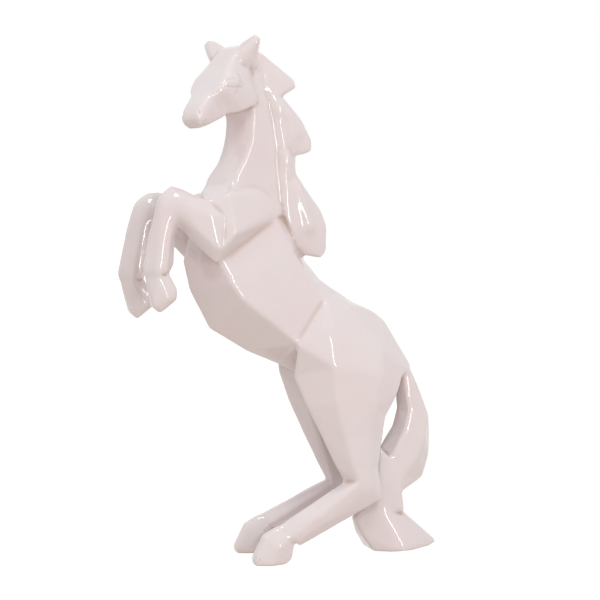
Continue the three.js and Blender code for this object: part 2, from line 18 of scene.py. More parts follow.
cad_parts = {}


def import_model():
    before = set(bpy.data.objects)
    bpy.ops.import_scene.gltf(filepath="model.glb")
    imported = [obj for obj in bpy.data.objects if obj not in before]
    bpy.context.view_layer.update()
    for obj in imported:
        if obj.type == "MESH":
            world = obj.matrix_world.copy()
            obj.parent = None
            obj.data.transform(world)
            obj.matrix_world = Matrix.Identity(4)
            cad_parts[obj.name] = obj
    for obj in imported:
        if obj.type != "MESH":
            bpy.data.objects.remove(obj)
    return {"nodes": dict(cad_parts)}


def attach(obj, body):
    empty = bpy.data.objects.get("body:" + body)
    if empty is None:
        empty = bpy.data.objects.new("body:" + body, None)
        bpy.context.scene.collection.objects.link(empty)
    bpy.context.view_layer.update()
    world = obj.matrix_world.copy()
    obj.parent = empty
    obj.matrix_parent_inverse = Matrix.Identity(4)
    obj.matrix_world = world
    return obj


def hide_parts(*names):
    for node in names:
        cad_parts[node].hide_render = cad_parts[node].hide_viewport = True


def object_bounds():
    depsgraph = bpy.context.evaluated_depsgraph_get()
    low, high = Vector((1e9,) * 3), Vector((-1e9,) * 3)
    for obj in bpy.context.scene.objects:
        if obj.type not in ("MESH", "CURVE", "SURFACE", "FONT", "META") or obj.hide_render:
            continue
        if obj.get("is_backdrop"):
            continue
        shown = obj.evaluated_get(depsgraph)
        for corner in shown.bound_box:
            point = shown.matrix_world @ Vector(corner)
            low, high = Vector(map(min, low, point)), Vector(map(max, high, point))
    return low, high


LOG = logging.getLogger("horse")
MM = 0.001
WHITE = (1.0, 1.0, 1.0, 1.0)


# Places in the frame


@dataclass(frozen=True)
class Place:
    """A point of the figure in millimetres, as its side view was drawn, and where that drawing's origin lies.

    Attributes:
        ahead: How far the plumb line of the drawing lies behind the middle of the footprint.
        aside: How far its middle plane lies to the horse's right.
    """

    ahead: float = 12.15
    aside: float = 3.44

    def point(self, x: float, y: float, z: float) -> Vector:
        """Returns a point of the side view as a place in the frame, in metres."""
        return Vector((x + self.ahead, y + self.aside, z)) * MM


DRAWING = Place()


@dataclass(frozen=True)
class HeadPlace:
    """How the head is carried.

    Attributes:
        yaw: Turn to the horse's left, in degrees.
        pitch: Fall of the face line below the horizontal, in degrees.
        roll: How far the left ear is raised, in degrees.
        poll: The poll in the side view.
    """

    yaw: float = 37.0
    pitch: float = 39.0
    roll: float = 6.0
    poll: tuple[float, float, float] = (-55.0, -4.0, 385.0)

    def left(self) -> Vector:
        """Returns the direction to the head's own left."""
        turn, fall = math.radians(self.yaw), math.radians(self.pitch)
        level = Vector((-math.cos(turn), -math.sin(turn), 0.0)) * math.cos(fall)
        along = level - Vector((0.0, 0.0, math.sin(fall)))
        left = Vector((math.sin(turn), -math.cos(turn), 0.0))
        left.rotate(Quaternion(along, math.radians(self.roll)))
        return left

    def mirrored(self, place: Vector) -> Vector:
        """Returns the place on the other side of the head's middle plane."""
        left = self.left()
        return place - left * 2.0 * left.dot(place - DRAWING.point(*self.poll))


# Mesh tools


def only(*things: bpy.types.Object) -> None:
    """Selects some objects and nothing else, and makes the first one active."""
    bpy.ops.object.select_all(action="DESELECT")
    for thing in things:
        thing.select_set(True)
    bpy.context.view_layer.objects.active = things[0]


def apply(thing: bpy.types.Object, kind: str, **settings: object) -> None:
    """Adds one modifier to an object and applies it.

    Args:
        thing: The object.
        kind: The modifier's type.
        settings: What is set on the modifier first.
    """
    only(thing)
    modifier = thing.modifiers.new(kind.lower(), kind)
    for name, value in settings.items():
        setattr(modifier, name, value)
    bpy.ops.object.modifier_apply(modifier=modifier.name)


def twin(source: bpy.types.Object, name: str) -> bpy.types.Object:
    """Copies an object with its own mesh and no materials.

    Args:
        source: What is copied.
        name: The copy's name.

    Returns:
        The copy.
    """
    copy = bpy.data.objects.new(name, source.data.copy())
    copy.data.materials.clear()
    bpy.context.collection.objects.link(copy)
    return copy


def weld(thing: bpy.types.Object) -> None:
    """Merges the loose triangles of a copied casting into one closed mesh."""
    only(thing)
    bpy.ops.object.mode_set(mode="EDIT")
    bpy.ops.mesh.select_all(action="SELECT")
    bpy.ops.mesh.remove_doubles(threshold=1e-6)
    bpy.ops.object.mode_set(mode="OBJECT")


def join(name: str, things: list[bpy.types.Object]) -> bpy.types.Object:
    """Joins objects into one.

    Args:
        name: The name of the joined object.
        things: What is joined.

    Returns:
        The joined object.
    """
    only(*things)
    if len(things) > 1:
        bpy.ops.object.join()
    things[0].name = name
    return things[0]


def coords(thing: bpy.types.Object) -> np.ndarray:
    """Returns the corners of an object's mesh as rows of x, y and z."""
    flat = np.empty(len(thing.data.vertices) * 3)
    thing.data.vertices.foreach_get("co", flat)
    return flat.reshape(-1, 3)


def normals(thing: bpy.types.Object) -> np.ndarray:
    """Returns the normals at the corners of an object's mesh."""
    flat = np.empty(len(thing.data.vertices) * 3)
    thing.data.vertex_normals.foreach_get("vector", flat)
    return flat.reshape(-1, 3)


def move_corners(thing: bpy.types.Object, places: np.ndarray) -> None:
    """Sets the corners of an object's mesh."""
    thing.data.vertices.foreach_set("co", places.ravel())
    thing.data.update()


def select_corners(thing: bpy.types.Object, chosen: np.ndarray) -> None:
    """Selects the faces of an object whose corners are all chosen, and nothing else.

    Args:
        thing: The object, in object mode.
        chosen: One truth value for each corner.
    """
    mesh = thing.data
    corner = np.empty(len(mesh.loops), dtype=np.int32)
    mesh.loops.foreach_get("vertex_index", corner)
    starts = np.empty(len(mesh.polygons), dtype=np.int32)
    mesh.polygons.foreach_get("loop_start", starts)
    whole = np.minimum.reduceat(chosen[corner].astype(np.int8), starts).astype(bool)
    edge = np.empty(len(mesh.edges) * 2, dtype=np.int32)
    mesh.edges.foreach_get("vertices", edge)
    ends = chosen[edge].reshape(-1, 2).all(axis=1)
    mesh.vertices.foreach_set("select", chosen)
    mesh.edges.foreach_set("select", ends)
    mesh.polygons.foreach_set("select", whole)


def smoothstep(low: float, high: float, value: np.ndarray) -> np.ndarray:
    """Returns 0 below low, 1 above high, and a soft step between them."""
    share = np.clip((value - low) / (high - low), 0.0, 1.0)
    return share * share * (3.0 - 2.0 * share)


# Materials


class Link:
    """A socket or a number in a material, on which sums can be written."""

    def __init__(self, recipe: "Recipe", value: object) -> None:
        """Wraps a socket or a number of a recipe."""
        self.recipe = recipe
        self.value = value

    def _sum(self, operation: str, *others: object) -> "Link":
        """Returns the outcome of a Math node on this value and others."""
        return self.recipe.node("ShaderNodeMath", {"operation": operation}, *(self, *others))

    def __add__(self, other: object) -> "Link":
        """Returns this plus other."""
        return self._sum("ADD", other)

    __radd__ = __add__

    def __sub__(self, other: object) -> "Link":
        """Returns this less other."""
        return self._sum("SUBTRACT", other)

    def __rsub__(self, other: object) -> "Link":
        """Returns other less this."""
        return Link(self.recipe, other)._sum("SUBTRACT", self)

    def __mul__(self, other: object) -> "Link":
        """Returns this times other."""
        return self._sum("MULTIPLY", other)

    __rmul__ = __mul__

    def __truediv__(self, other: object) -> "Link":
        """Returns this over other."""
        return self._sum("DIVIDE", other)

    def __rtruediv__(self, other: object) -> "Link":
        """Returns other over this."""
        return Link(self.recipe, other)._sum("DIVIDE", self)

    def __gt__(self, other: object) -> "Link":
        """Returns 1 where this is above other, and 0 elsewhere."""
        return self._sum("GREATER_THAN", other)

    def clamped(self) -> "Link":
        """Returns this kept between 0 and 1."""
        return self.recipe.node("ShaderNodeClamp", {}, self)

    def ramp(self, low: float, high: float) -> "Link":
        """Returns a soft step from 0 at low to 1 at high."""
        settings = {"interpolation_type": "SMOOTHSTEP", "clamp": True}
        return self.recipe.node("ShaderNodeMapRange", settings, self, low, high, 0.0, 1.0)


class Recipe:
    """A node material or world under construction."""

    def __init__(
        self, owner: bpy.types.Material | bpy.types.World, end: str = "ShaderNodeOutputMaterial"
    ) -> None:
        """Starts with no nodes.

        Args:
            owner: The new material or world that gets the nodes.
            end: The type of its output node.
        """
        self.owner = owner
        self.end = end
        self.owner.use_nodes = True
        self.tree = self.owner.node_tree
        self.tree.nodes.clear()

    def node(
        self, kind: str, settings: dict[str, object], *values: object, output: int = 0, **named: object
    ) -> Link:
        """Adds a node.

        Args:
            kind: The node's type.
            settings: What is set on the node before its sockets.
            values: What its first sockets get, in order. None leaves a socket alone.
            output: Which of its outputs is returned.
            named: What other sockets get, by name with _ for a space.

        Returns:
            One output of the node.
        """
        made = self.tree.nodes.new(kind)
        for key, value in settings.items():
            setattr(made, key, value)
        given = list(zip(made.inputs, values))
        given += [(made.inputs[key.replace("_", " ")], value) for key, value in named.items()]
        for socket, value in given:
            self.feed(socket, value)
        return Link(self, made.outputs[output])

    def feed(self, socket: bpy.types.NodeSocket, value: object) -> None:
        """Gives a socket a link, a number or a colour.

        Args:
            socket: The socket.
            value: A Link, a plain value, or None to leave the socket alone.
        """
        value = value.value if isinstance(value, Link) else value
        if isinstance(value, bpy.types.NodeSocket):
            self.tree.links.new(value, socket)
        elif value is not None:
            socket.default_value = value

    def place(self, output: int = 3) -> Link:
        """Returns the object coordinates, or with 0 the direction in a world."""
        return self.node("ShaderNodeTexCoord", {}, output=output)

    def axis(self, vector: Link, which: int) -> Link:
        """Returns one of a vector's three parts."""
        return self.node("ShaderNodeSeparateXYZ", {}, vector, output=which)

    def noise(self, scale: float, detail: float = 2.0, roughness: float = 0.5) -> Link:
        """Returns a noise of some grain, with scale in waves per metre."""
        return self.node(
            "ShaderNodeTexNoise", {}, Vector=self.place(), Scale=scale, Detail=detail, Roughness=roughness
        )

    def blend(self, share: object, first: object, second: object) -> Link:
        """Blends two colours.

        Args:
            share: How much of the second there is, from 0 to 1.
            first: The first colour.
            second: The second colour.

        Returns:
            The colour between them.
        """
        made = self.tree.nodes.new("ShaderNodeMix")
        made.data_type = "RGBA"
        for socket, value in ((made.inputs[0], share), (made.inputs[6], first), (made.inputs[7], second)):
            self.feed(socket, value)
        return Link(self, made.outputs[2])

    def finish(self, shader: Link) -> bpy.types.Material | bpy.types.World:
        """Joins the last shader to the output and returns the material or world."""
        end = self.tree.nodes.new(self.end)
        self.feed(end.inputs["Surface"], shader)
        return self.owner


def colour(red: float, green: float, blue: float) -> tuple[float, float, float, float]:
    """Returns a colour given as 0 to 255 on screen in the linear values that shaders take."""
    shares = (value / 255 for value in (red, green, blue))
    return (*(v / 12.92 if v <= 0.04045 else ((v + 0.055) / 1.055) ** 2.4 for v in shares), 1.0)


@dataclass(frozen=True)
class GlazedWare:
    """Pale pink gloss glaze over a cream body.

    Attributes:
        face: Colour of the glaze on open faces.
        thin: Colour on ridges, where the glaze runs thin and the clay warms it.
        pooled_and_shade: Colour in creases, partly glaze that gathers there and partly painted shade.
        flush: Pinker cloud that drifts over the open faces.
        clay: Bare fired clay of the soles, from which the glaze is wiped.
        wiped: Height of the wiped band above the ground, in metres.
        gloss: Roughness of the fired surface.
        pit_cell: How far the pinholes lie apart, in metres, before most are left out.
        pit_radius: Radius of a pinhole, in metres.
        pit_depth: Depth of a pinhole, in metres.
        pit_luck: Share of the cells that have no pinhole.
        wave_height: How deep the slow waves of the glaze are, in metres.
        grit_height: How deep its fine grain is, in metres.
        drift_share: How strongly the pinker cloud shows.
        thin_share: How strongly the ridges show their own colour.
        pooled_and_shade_share: How strongly the creases show theirs, pooled glaze and painted shade.
        speck_share: How strongly the fine specks show.
        pit_share: How strongly the pinholes show.
    """

    face: tuple = colour(229, 220, 221)
    thin: tuple = colour(233, 222, 218)
    pooled_and_shade: tuple = colour(206, 184, 172)
    flush: tuple = colour(229, 215, 217)
    clay: tuple = colour(222, 208, 188)
    wiped: float = 0.0005
    gloss: float = 0.09
    pit_cell: float = 0.019
    pit_radius: float = 0.00045
    pit_depth: float = 0.00025
    pit_luck: float = 0.8
    wave_height: float = 0.00022
    grit_height: float = 0.000004
    drift_share: float = 0.75
    thin_share: float = 0.7
    pooled_and_shade_share: float = 0.85
    speck_share: float = 0.1
    pit_share: float = 0.55

    def material(self) -> bpy.types.Material:
        """Builds the material. It reads the skin's own attribute of ridge and crease."""
        recipe = Recipe(bpy.data.materials.new("pink_gloss_glaze"))
        form = recipe.node("ShaderNodeAttribute", {"attribute_name": GlazeSkin.FORM})
        ridge = recipe.node("ShaderNodeSeparateColor", {}, form, output=0)
        crease = recipe.node("ShaderNodeSeparateColor", {}, form, output=1)
        drift = recipe.noise(19.0, detail=3.0).ramp(0.38, 0.66)
        speck = recipe.noise(420.0, detail=1.0).ramp(0.6, 0.8)
        body = recipe.blend(drift * self.drift_share, self.face, self.flush)
        body = recipe.blend(ridge * self.thin_share, body, self.thin)
        # Creases darken towards the pooled colour: partly glaze that gathers there, partly painted shade.
        body = recipe.blend((crease * self.pooled_and_shade_share).clamped(), body, self.pooled_and_shade)
        body = recipe.blend(speck * self.speck_share, body, self.pooled_and_shade)
        pit = self.pits(recipe)
        body = recipe.blend(pit * self.pit_share, body, self.pooled_and_shade)
        bare = self.sole(recipe)
        body = recipe.blend(bare, body, self.clay)
        smear = recipe.noise(60.0, detail=2.0)
        rough = bare * 0.6 + (self.gloss + (smear - 0.5) * 0.05)
        wave = recipe.noise(70.0, detail=1.5, roughness=0.4)
        fine = recipe.noise(900.0, detail=1.0)
        relief = wave * self.wave_height + fine * self.grit_height - pit * self.pit_depth
        bumped = recipe.node("ShaderNodeBump", {}, Strength=1.0, Distance=1.0, Height=relief)
        shader = recipe.node(
            "ShaderNodeBsdfPrincipled",
            {},
            Base_Color=body,
            Roughness=rough,
            Normal=bumped,
            IOR=1.56,
            Coat_Weight=(1.0 - bare) * 0.5,
            Coat_Roughness=0.03,
            Coat_IOR=1.5,
        )
        return recipe.finish(shader)

    def pits(self, recipe: Recipe) -> Link:
        """Returns 1 in the few pinholes where the glaze has crawled off a bubble, and 0 elsewhere."""
        cells = {"feature": "F1", "distance": "EUCLIDEAN"}
        size = 1.0 / self.pit_cell
        near = recipe.node("ShaderNodeTexVoronoi", cells, Vector=recipe.place(), Scale=size)
        luck = recipe.node("ShaderNodeTexVoronoi", cells, Vector=recipe.place(), Scale=size, output=1)
        chosen = recipe.node("ShaderNodeSeparateColor", {}, luck) > self.pit_luck
        reach = self.pit_radius / self.pit_cell
        return (1.0 - near.ramp(reach * 0.4, reach)) * chosen

    def sole(self, recipe: Recipe) -> Link:
        """Returns 1 on the wiped band at the ground, and 0 on the glaze."""
        wobble = (recipe.noise(300.0) - 0.5) * self.wiped
        height = recipe.axis(recipe.place(), 2) + wobble
        return 1.0 - height.ramp(self.wiped * 0.6, self.wiped * 1.4)


# The skin


class Neighbours:
    """Who is joined to whom in a mesh."""

    def __init__(self, thing: bpy.types.Object) -> None:
        """Reads the edges of an object's mesh."""
        mesh = thing.data
        ends = np.empty(len(mesh.edges) * 2, dtype=np.int64)
        mesh.edges.foreach_get("vertices", ends)
        self.first, self.second = ends.reshape(-1, 2).T
        self.size = len(mesh.vertices)
        self.count = self.total(np.ones(self.size))

    def total(self, values: np.ndarray) -> np.ndarray:
        """Returns the sum of one value over each corner's neighbours."""
        ahead = np.bincount(self.first, weights=values[self.second], minlength=self.size)
        return ahead + np.bincount(self.second, weights=values[self.first], minlength=self.size)

    def mean(self, rows: np.ndarray) -> np.ndarray:
        """Returns the mean of each column over each corner's neighbours."""
        return np.stack([self.total(column) / self.count for column in rows.T], axis=1)


@dataclass(frozen=True)
class SoftSpot:
    """A round region where the skin is softer or crisper than elsewhere.

    Attributes:
        start: One end of its middle line, in the side view's millimetres, as x, distance from the middle, z.
        end: The other end.
        reach: Where the region's effect is halved, from the line, in millimetres.
        soft: How far the skin is eased in its middle, in metres.
        both: Whether it lies on both sides of the horse.
    """

    start: tuple[float, float, float]
    end: tuple[float, float, float]
    reach: float
    soft: float
    both: bool = True

    def share(self, places: np.ndarray) -> np.ndarray:
        """Finds how much of this region's softness each place gets.

        Args:
            places: The places as rows.

        Returns:
            One share from 0 to 1 for each place.
        """
        first, last = (np.array(DRAWING.point(*tip)) for tip in (self.start, self.end))
        middle = DRAWING.aside * MM
        folded = places.copy()
        if self.both:
            folded[:, 1] = middle + np.abs(places[:, 1] - middle)
        gap = gap_to(np.array([first, last]), folded)
        return 1.0 - smoothstep(0.5 * self.reach * MM, 1.5 * self.reach * MM, gap)


SOFT_SPOTS = (
    # Flank, and the crisp crease before the thigh and edge of the shoulder plate on it
    SoftSpot((-40, 0, 210), (45, 0, 170), 45.0, 0.0024),
    SoftSpot((-12, 26, 166), (14, 17, 199), 5.0, 0.0014),
    SoftSpot((-80, 34, 264), (-70, 35, 243), 7.0, 0.0014),
    # Top of the shoulder plate, where it runs out into the neck
    SoftSpot((-76, 4, 282), (-60, 17, 286), 6.0, 0.0045),
    SoftSpot((-60, 17, 286), (-25, 13, 268), 6.0, 0.0045),
    # Front of the neck
    SoftSpot((-62, 6, 303), (-56, 6, 335), 13.0, 0.007),
    # Hip to croup, and croup to dock
    SoftSpot((13, 30, 179), (58, 25, 159), 8.0, 0.005),
    SoftSpot((58, 25, 159), (78, 15, 141), 8.0, 0.0045),
    # Knees
    SoftSpot((-117, 22, 272), (-102, 22, 270), 18.0, 0.0055),
    # Head, the near side's ridge from brow to muzzle, the ears, and the root of the near ear
    SoftSpot((-60, -4, 385), (-105, -35, 345), 30.0, 0.0019, both=False),
    SoftSpot((-62, -26, 372), (-86, -39, 345), 6.0, 0.0036, both=False),
    SoftSpot((-43, -20, 396), (-72, 12, 393), 10.0, 0.0011, both=False),
    SoftSpot((-47, -20, 376), (-44, -18, 370), 6.0, 0.0036, both=False),
    # Crisp edge of the mane, and the ridge on the tail's foot
    SoftSpot((-16, 9, 345), (-12, 9, 258), 5.0, 0.0013),
    SoftSpot((68, 18, 34), (78, 20, 6), 8.0, 0.0045),
)


@dataclass
class GlazeSkin:
    """One coat of glaze over all the castings.

    Attributes:
        voxel: Grain of the skin, in metres.
        swell: How far each casting is grown first, so that the slip between them closes, in metres.
        plug_radius: Radius of the stoppers in the air passages and the vent, in metres.
        soft: How far round a ridge the skin is eased, in metres.
        filling: How much of that the creases get.
    """

    FORM = "glaze_form"  # the attribute of ridge and crease
    WIDE_TURNS = 6  # means taken to smooth the skin that ridges and creases are measured from
    CALM_TURNS = 4  # means taken to smooth that measure
    RIDGE = (0.00004, 0.0003)  # heights above the smoothed skin at which a ridge begins and is whole
    CREASE = (0.00002, 0.0002)  # the same for depths below it

    voxel: float = 0.0009
    swell: float = 0.00055
    plug_radius: float = 0.0045
    soft: float = 0.0019
    filling: float = 0.45
    thing: bpy.types.Object = field(init=False)

    def build(self, castings: dict[str, bpy.types.Object]) -> bpy.types.Object:
        """Draws the skin.

        Args:
            castings: The castings by name.

        Returns:
            The skin's object.
        """
        copies = [twin(node, f"{name}_core") for name, node in castings.items()]
        for copy in copies:
            weld(copy)
            apply(copy, "DISPLACE", strength=self.swell, mid_level=0.0)
        self.thing = join("skin", copies + self.stoppers())
        apply(self.thing, "REMESH", mode="VOXEL", voxel_size=self.voxel, adaptivity=0.0)
        keep_largest(self.thing)
        Carving(self.thing).work([mark for mark in MARKS if mark.half >= Carving.COARSE])
        self.ease()
        Carving(self.thing).work([mark for mark in MARKS if mark.half < Carving.COARSE])
        only(self.thing)
        bpy.ops.object.shade_smooth()
        LOG.info("skin: %d faces", len(self.thing.data.polygons))
        return self.thing

    def stoppers(self) -> list[bpy.types.Object]:
        """Returns plugs for the passages, so that the skin doesn't run on into the hollow inside."""
        runs = [
            ((-45, 0, 244), (-45, 0, 281)),
            ((-45, -1, 353), (-58, -7, 360)),
            ((72, 0, 142), (87, 0, 125)),
            ((70, 0, 8), (70, 0, 30)),
        ]
        made = []
        for start, end in runs:
            first, last = DRAWING.point(*start), DRAWING.point(*end)
            run = last - first
            bpy.ops.mesh.primitive_cylinder_add(
                vertices=24,
                radius=self.plug_radius,
                depth=run.length,
                location=(first + last) / 2,
                rotation=run.to_track_quat("Z", "Y").to_euler(),
            )
            bpy.ops.object.transform_apply()
            made.append(bpy.context.object)
        return made

    def ease(self) -> None:
        """Rounds the ridges as a coat of glaze does, and fills the creases by less."""
        nearby = Neighbours(self.thing)
        places = coords(self.thing)
        softness = self.softness(places)
        longest = softness.max()
        for turn in range(self.turns(longest)):
            active = (self.turns(softness) > turn).astype(float)
            shift = nearby.mean(places) - places
            move_corners(self.thing, places)
            out = (shift * normals(self.thing)).sum(axis=1)
            rate = 0.5 * active * np.where(out > 0, self.filling, 1.0)
            places = places + shift * rate[:, None]
        move_corners(self.thing, places)

    def turns(self, radius: np.ndarray) -> np.ndarray:
        """Returns how many half steps towards the neighbours' mean ease a surface over a radius."""
        return np.ceil(4.0 * (radius / self.voxel) ** 2).astype(int)

    def softness(self, places: np.ndarray) -> np.ndarray:
        """Finds how far round each corner the skin is eased.

        Args:
            places: The corners as rows.

        Returns:
            One length in metres for each corner.
        """
        spread = np.full(len(places), self.soft)
        for spot in SOFT_SPOTS:
            share = spot.share(places)
            spread = spread * (1.0 - share) + spot.soft * share
        return spread

    def mark_form(self) -> None:
        """Writes how much each corner of the skin is a ridge, in red, or a crease, in green."""
        mesh = self.thing.data
        nearby = Neighbours(self.thing)
        places = coords(self.thing)
        wide = places
        for _ in range(self.WIDE_TURNS):
            wide = nearby.mean(wide)
        rise = ((places - wide) * normals(self.thing)).sum(axis=1)
        for _ in range(self.CALM_TURNS):
            rise = nearby.mean(rise[:, None])[:, 0]
        tint = np.zeros((len(places), 4), dtype=np.float32)
        tint[:, 0] = smoothstep(*self.RIDGE, rise)
        # The crease share darkens the glaze's colour in the creases, partly as painted shade.
        tint[:, 1] = smoothstep(*self.CREASE, -rise)
        tint[:, 3] = 1.0
        layer = mesh.color_attributes.new(self.FORM, "FLOAT_COLOR", "POINT")
        layer.data.foreach_set("color", tint.ravel())


@dataclass(frozen=True)
class Mark:
    """A groove or bead along a bent line, as the modeller's tool leaves it.

    Attributes:
        line: Its corners where they show from the camera, in pixels to the right and down.
        half: Half its width, in millimetres.
        depth: How deep it is pressed in, in millimetres, or how high it stands where that is negative.
        paired: Whether the other side of the head has it too.
    """

    line: tuple[tuple[float, float], ...]
    half: float
    depth: float
    paired: bool = False


MARKS = (
    # Groove between the neck and the mane
    Mark(((273, 108), (276, 118), (281, 138), (282.5, 165), (282.5, 200), (286, 218)), 3.4, 0.5),
    # Ridges of the mane's three locks
    Mark(((269, 73), (275, 77), (281, 81)), 4.0, -0.9),
    Mark(((279, 108), (289, 118), (297, 134)), 4.0, -1.8),
    Mark(((287, 158), (298, 185), (310, 226)), 4.5, -2.2),
    # Flesh behind the root of the near ear
    Mark(((250.5, 64), (252.5, 66.5)), 3.0, -3.6),
    # Closed eye: the ball, the fold above it, the line of the lids, and the cheek's dot
    Mark(((229.5, 82.5), (239.5, 83.5)), 3.4, -0.8, paired=True),
    Mark(((224.5, 83.5), (228, 79.8), (234, 78.9), (240, 81), (244.5, 85)), 0.8, 0.45, paired=True),
    Mark(((223.5, 86), (230, 87.2), (237, 87.4), (243, 87)), 0.8, 0.6, paired=True),
    Mark(((234.5, 91), (235.5, 91)), 1.3, -0.4),
    # Nostrils and mouth
    Mark(((198.7, 111.7), (199.6, 112.2)), 1.1, 1.5, paired=True),
    Mark(((189, 121.6), (199, 121.4), (208, 120.4)), 0.8, 0.14, paired=True),
    # Nicks in the near hind hoof and scratches behind the near elbow
    Mark(((254, 561.5), (256.2, 558.2)), 0.7, 0.6),
    Mark(((258.6, 562.5), (259.8, 559.5)), 0.7, 0.5),
    Mark(((189, 248), (192, 258)), 0.45, 0.22),
    Mark(((191.3, 247), (195.3, 259)), 0.45, 0.26),
    Mark(((193.8, 249), (197.6, 261)), 0.45, 0.26),
    Mark(((196.6, 252), (199.4, 262)), 0.45, 0.2),
)


class Carving:
    """Works marks into a skin, which is made finer round the narrow ones first."""

    COARSE = 2.0  # half width of the narrowest mark that needs no finer skin, in millimetres
    LEVELS = (2.0, 0.9)  # half widths below which the skin is halved once, and once more

    def __init__(self, thing: bpy.types.Object) -> None:
        """Readies a skin.

        Args:
            thing: The skin, in object mode.
        """
        self.thing = thing
        self.tree = BVHTree.FromObject(thing, bpy.context.evaluated_depsgraph_get())

    def work(self, marks: list[Mark]) -> None:
        """Works marks into the skin.

        Args:
            marks: The marks.
        """
        lines = [(mark, line) for mark in marks for line in self.lines(mark)]
        for level in self.LEVELS:
            self.refine([(mark, line) for mark, line in lines if mark.half < level])
        places, out = coords(self.thing), normals(self.thing)
        sunk = np.zeros(len(places))
        for mark, line in lines:
            sunk += mark.depth * MM * np.exp(-((gap_to(line, places) / (mark.half * MM)) ** 2))
        move_corners(self.thing, places - out * sunk[:, None])

    def lines(self, mark: Mark) -> list[np.ndarray]:
        """Lays a mark on the skin.

        Args:
            mark: The mark.

        Returns:
            Its line, and its twin's where it is paired.
        """
        camera = Viewpoint()
        seen = [self.tree.ray_cast(*camera.ray(u, v))[0] for u, v in mark.line]
        if None in seen:
            raise ValueError(f"a mark runs off the skin: {mark.line}")
        lines = [seen]
        if mark.paired:
            lines.append([self.tree.find_nearest(HeadPlace().mirrored(place))[0] for place in seen])
        return [np.array(line) for line in lines]

    def refine(self, lines: list[tuple[Mark, np.ndarray]]) -> None:
        """Halves the faces round some lines."""
        if not lines:
            return
        places = coords(self.thing)
        near = [gap_to(line, places) < (2.2 * mark.half + 1.0) * MM for mark, line in lines]
        only(self.thing)
        bpy.ops.object.mode_set(mode="EDIT")
        bpy.ops.mesh.select_all(action="DESELECT")
        bpy.ops.object.mode_set(mode="OBJECT")
        select_corners(self.thing, np.any(near, axis=0))
        bpy.ops.object.mode_set(mode="EDIT")
        bpy.ops.mesh.subdivide(number_cuts=1)
        bpy.ops.object.mode_set(mode="OBJECT")


def gap_to(line: np.ndarray, places: np.ndarray) -> np.ndarray:
    """Returns how far each place is from a bent line.

    Args:
        line: The line's corners as rows.
        places: The places as rows.

    Returns:
        One distance for each place.
    """
    gaps = []
    for first, last in zip(line[:-1], line[1:]):
        run = last - first
        along = np.clip(((places - first) @ run) / (run @ run), 0.0, 1.0)
        gaps.append(np.linalg.norm(places - first - along[:, None] * run, axis=1))
    return np.min(gaps, axis=0)


def keep_largest(thing: bpy.types.Object) -> None:
    """Deletes all but the largest loose part of an object.

    Args:
        thing: The object.
    """
    mesh = thing.data
    edges = np.empty(len(mesh.edges) * 2, dtype=np.int64)
    mesh.edges.foreach_get("vertices", edges)
    a, b = edges.reshape(-1, 2).T
    label = np.arange(len(mesh.vertices))
    while True:
        least = np.minimum(label[a], label[b])
        lower = label.copy()
        np.minimum.at(lower, a, least)
        np.minimum.at(lower, b, least)
        lower = lower[lower]
        if (lower == label).all():
            break
        label = lower
    largest = np.bincount(label).argmax()
    crumbs = label != largest
    if not crumbs.any():
        return
    only(thing)
    bpy.ops.object.mode_set(mode="EDIT")
    bpy.ops.mesh.select_all(action="DESELECT")
    bpy.ops.object.mode_set(mode="OBJECT")
    mesh.vertices.foreach_set("select", crumbs)
    bpy.ops.object.mode_set(mode="EDIT")
    bpy.ops.mesh.delete(type="VERT")
    bpy.ops.object.mode_set(mode="OBJECT")


# Parting the skin into castings


class Cut(Enum):
    """How the space of a casting is found."""

    NODE = "the solid casting itself, grown"
    HULL = "the hull of each stretch of its height, grown"
    BEYOND = "all that lies beyond a plane"
    REST = "what the others leave"


